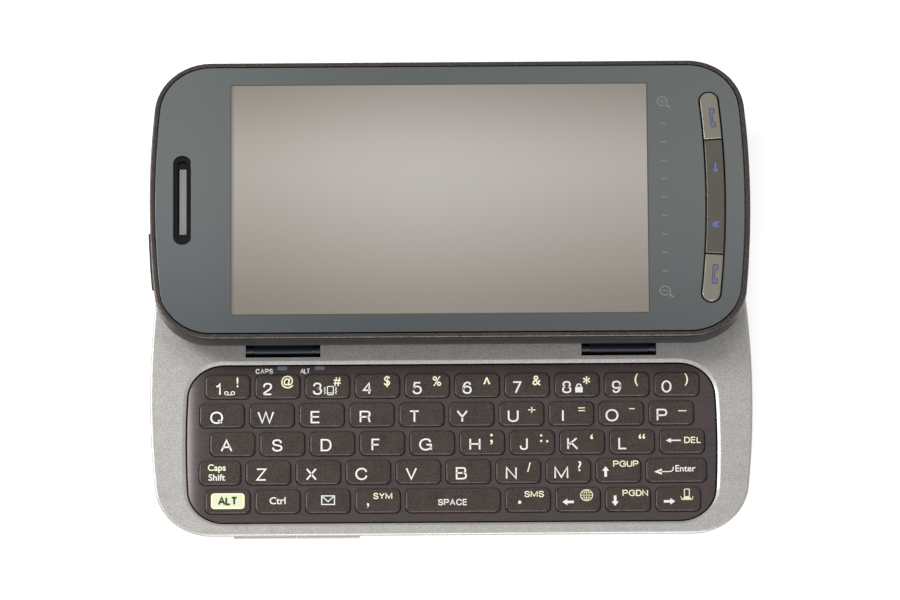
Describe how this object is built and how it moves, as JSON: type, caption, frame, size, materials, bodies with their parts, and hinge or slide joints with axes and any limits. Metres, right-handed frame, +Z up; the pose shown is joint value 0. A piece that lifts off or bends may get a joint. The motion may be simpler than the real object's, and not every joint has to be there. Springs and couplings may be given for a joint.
{
  "type": "slider phone",
  "caption": "Pocket phone with a keyboard in its base, under a display half that slides back over it and tilts up on a hinged bracket.",
  "frame": {"origin": "middle of the flat underside of the base, where the phone rests", "axes": "+X to the right along the long side, +Y to the back, the way the display half slides open, +Z up"},
  "size_m": [0.1163, 0.097, 0.0175],
  "materials": {
    "cover_plastic": "soft matt dark grey",
    "window_glass": "smoked clear window",
    "housing_plastic": "matt dark grey",
    "silver_shell": "fine-grained silver paint",
    "brushed_plate": "brushed dark brown",
    "mat_rubber": "moulded sheet",
    "dome_sheet": "thin switch domes on a board",
    "circuit_board": "green solder mask",
    "can_steel": "pressed tinned steel",
    "battery_case": null,
    "black_plastic": "moulded black",
    "ivory_plastic": "moulded, unpainted",
    "rocker_plastic": "warm silver paint",
    "stylus_plastic": "moulded dark grey",
    "screw_steel": "blackened steel",
    "pin_steel": "ground steel",
    "lamp_plastic": "clear light pipe, unlit",
    "key_plastic": "fine-speckled dark brown-grey",
    "bracket_steel": "dark plated steel",
    "case_plastic": "satin near-black",
    "rail_steel": "pressed steel",
    "frame_metal": "cast frame",
    "lcd_glass": "unlit screen, warm grey",
    "panel_gloss": "glossy smoked grey lens",
    "trim_bronze": "satin bronze",
    "mesh_steel": "perforated foil",
    "side_key_plastic": "satin warm grey",
    "nav_key_plastic": "satin dark grey",
    "power_plastic": "satin black"
  },
  "bodies": {
    "base": {"back_housing": "housing_plastic", "keyboard_deck": "silver_shell", "key_surround": "brushed_plate", "key_mat": "mat_rubber", "dome_sheet": "dome_sheet", "main_board": "circuit_board", "shield_cans": "can_steel", "card_reader": "can_steel", "battery": "battery_case", "camera_module": "black_plastic", "rear_speaker": "black_plastic", "antenna_carrier": "ivory_plastic", "vibration_motor": "can_steel", "usb_socket": "can_steel", "volume_switch": "circuit_board", "housing_screws": "screw_steel", "hinge_pins": "pin_steel", "indicator_lamps": "lamp_plastic"},
    "cover": {"battery_cover": "cover_plastic", "camera_window": "window_glass"},
    "bracket": {"slide_bracket": "bracket_steel"},
    "display": {"display_rear_cover": "case_plastic", "slide_rails": "rail_steel", "display_frame": "frame_metal", "display_board": "circuit_board", "lcd_panel": "lcd_glass", "front_panel": "panel_gloss", "trim_ring": "trim_bronze", "earpiece_bezel": "black_plastic", "earpiece_mesh": "mesh_steel", "earpiece_receiver": "black_plastic", "front_key_board": "circuit_board", "power_switch": "circuit_board", "display_screws": "screw_steel"},
    "volume_rocker": {"volume_rocker": "rocker_plastic"},
    "stylus": {"stylus": "stylus_plastic"},
    "send_key": {"send_key": "side_key_plastic"},
    "nav_rocker": {"nav_rocker": "nav_key_plastic"},
    "end_key": {"end_key": "side_key_plastic"},
    "power_button": {"power_button": "power_plastic"},
    "number_keys": {"number_keys": "key_plastic"},
    "top_letter_keys": {"top_letter_keys": "key_plastic"},
    "home_letter_keys": {"home_letter_keys": "key_plastic"},
    "low_letter_keys": {"low_letter_keys": "key_plastic"},
    "delete_key": {"delete_key": "key_plastic"},
    "shift_key": {"shift_key": "key_plastic"},
    "up_key": {"up_key": "key_plastic"},
    "enter_key": {"enter_key": "key_plastic"},
    "alt_key": {"alt_key": "key_plastic"},
    "control_key": {"control_key": "key_plastic"},
    "message_key": {"message_key": "key_plastic"},
    "comma_key": {"comma_key": "key_plastic"},
    "space_key": {"space_key": "key_plastic"},
    "period_key": {"period_key": "key_plastic"},
    "left_key": {"left_key": "key_plastic"},
    "down_key": {"down_key": "key_plastic"},
    "right_key": {"right_key": "key_plastic"}
  },
  "joints": [
    {"name": "tilt_hinge", "type": "hinge", "parent": "base", "child": "bracket", "pos_m": [0, 0.01, 0.00855], "axis": [1, 0, 0], "range_deg": [0, 45]},
    {"name": "display_slide", "type": "slide", "parent": "bracket", "child": "display", "axis": [0, 1, 0], "range_m": [-0.0382, 0]},
    {"name": "battery_cover_release", "type": "slide", "parent": "base", "child": "cover", "axis": [0, 0, -1], "range_m": [0, 0.015]},
    {"name": "stylus_draw", "type": "slide", "parent": "base", "child": "stylus", "axis": [1, 0, 0], "range_m": [0, 0.1]},
    {"name": "volume_rock", "type": "hinge", "parent": "base", "child": "volume_rocker", "pos_m": [-0.0298, -0.02442, 0.0048], "axis": [0, 0, 1], "range_deg": [-1.2, 1.2], "stiffness_Nm_per_rad": 0.4},
    {"name": "send_press", "type": "slide", "parent": "display", "child": "send_key", "axis": [0, 0, -1], "range_m": [0, 0.0002], "stiffness_N_per_m": 3000},
    {"name": "end_press", "type": "slide", "parent": "display", "child": "end_key", "axis": [0, 0, -1], "range_m": [0, 0.0002], "stiffness_N_per_m": 3000},
    {"name": "nav_rock", "type": "hinge", "parent": "display", "child": "nav_rocker", "pos_m": [0.0513, 0.0382, 0.0156], "axis": [1, 0, 0], "range_deg": [-1, 1], "stiffness_Nm_per_rad": 0.6},
    {"name": "power_press", "type": "slide", "parent": "display", "child": "power_button", "axis": [1, 0, 0], "range_m": [0, 0.00025], "stiffness_N_per_m": 3000},
    {"name": "number_row_press", "type": "slide", "parent": "base", "child": "number_keys", "axis": [0, 0, -1], "range_m": [0, 0.0003], "stiffness_N_per_m": 2000},
    {"name": "top_letter_row_press", "type": "slide", "parent": "base", "child": "top_letter_keys", "axis": [0, 0, -1], "range_m": [0, 0.0003], "stiffness_N_per_m": 2000},
    {"name": "home_letter_row_press", "type": "slide", "parent": "base", "child": "home_letter_keys", "axis": [0, 0, -1], "range_m": [0, 0.0003], "stiffness_N_per_m": 2000},
    {"name": "low_letter_row_press", "type": "slide", "parent": "base", "child": "low_letter_keys", "axis": [0, 0, -1], "range_m": [0, 0.0003], "stiffness_N_per_m": 2000},
    {"name": "delete_press", "type": "slide", "parent": "base", "child": "delete_key", "axis": [0, 0, -1], "range_m": [0, 0.0003], "stiffness_N_per_m": 2000},
    {"name": "shift_press", "type": "slide", "parent": "base", "child": "shift_key", "axis": [0, 0, -1], "range_m": [0, 0.0003], "stiffness_N_per_m": 2000},
    {"name": "up_press", "type": "slide", "parent": "base", "child": "up_key", "axis": [0, 0, -1], "range_m": [0, 0.0003], "stiffness_N_per_m": 2000},
    {"name": "enter_press", "type": "slide", "parent": "base", "child": "enter_key", "axis": [0, 0, -1], "range_m": [0, 0.0003], "stiffness_N_per_m": 2000},
    {"name": "alt_press", "type": "slide", "parent": "base", "child": "alt_key", "axis": [0, 0, -1], "range_m": [0, 0.0003], "stiffness_N_per_m": 2000},
    {"name": "control_press", "type": "slide", "parent": "base", "child": "control_key", "axis": [0, 0, -1], "range_m": [0, 0.0003], "stiffness_N_per_m": 2000},
    {"name": "message_press", "type": "slide", "parent": "base", "child": "message_key", "axis": [0, 0, -1], "range_m": [0, 0.0003], "stiffness_N_per_m": 2000},
    {"name": "comma_press", "type": "slide", "parent": "base", "child": "comma_key", "axis": [0, 0, -1], "range_m": [0, 0.0003], "stiffness_N_per_m": 2000},
    {"name": "space_press", "type": "slide", "parent": "base", "child": "space_key", "axis": [0, 0, -1], "range_m": [0, 0.0003], "stiffness_N_per_m": 2000},
    {"name": "period_press", "type": "slide", "parent": "base", "child": "period_key", "axis": [0, 0, -1], "range_m": [0, 0.0003], "stiffness_N_per_m": 2000},
    {"name": "left_press", "type": "slide", "parent": "base", "child": "left_key", "axis": [0, 0, -1], "range_m": [0, 0.0003], "stiffness_N_per_m": 2000},
    {"name": "down_press", "type": "slide", "parent": "base", "child": "down_key", "axis": [0, 0, -1], "range_m": [0, 0.0003], "stiffness_N_per_m": 2000},
    {"name": "right_press", "type": "slide", "parent": "base", "child": "right_key", "axis": [0, 0, -1], "range_m": [0, 0.0003], "stiffness_N_per_m": 2000}
  ]
}
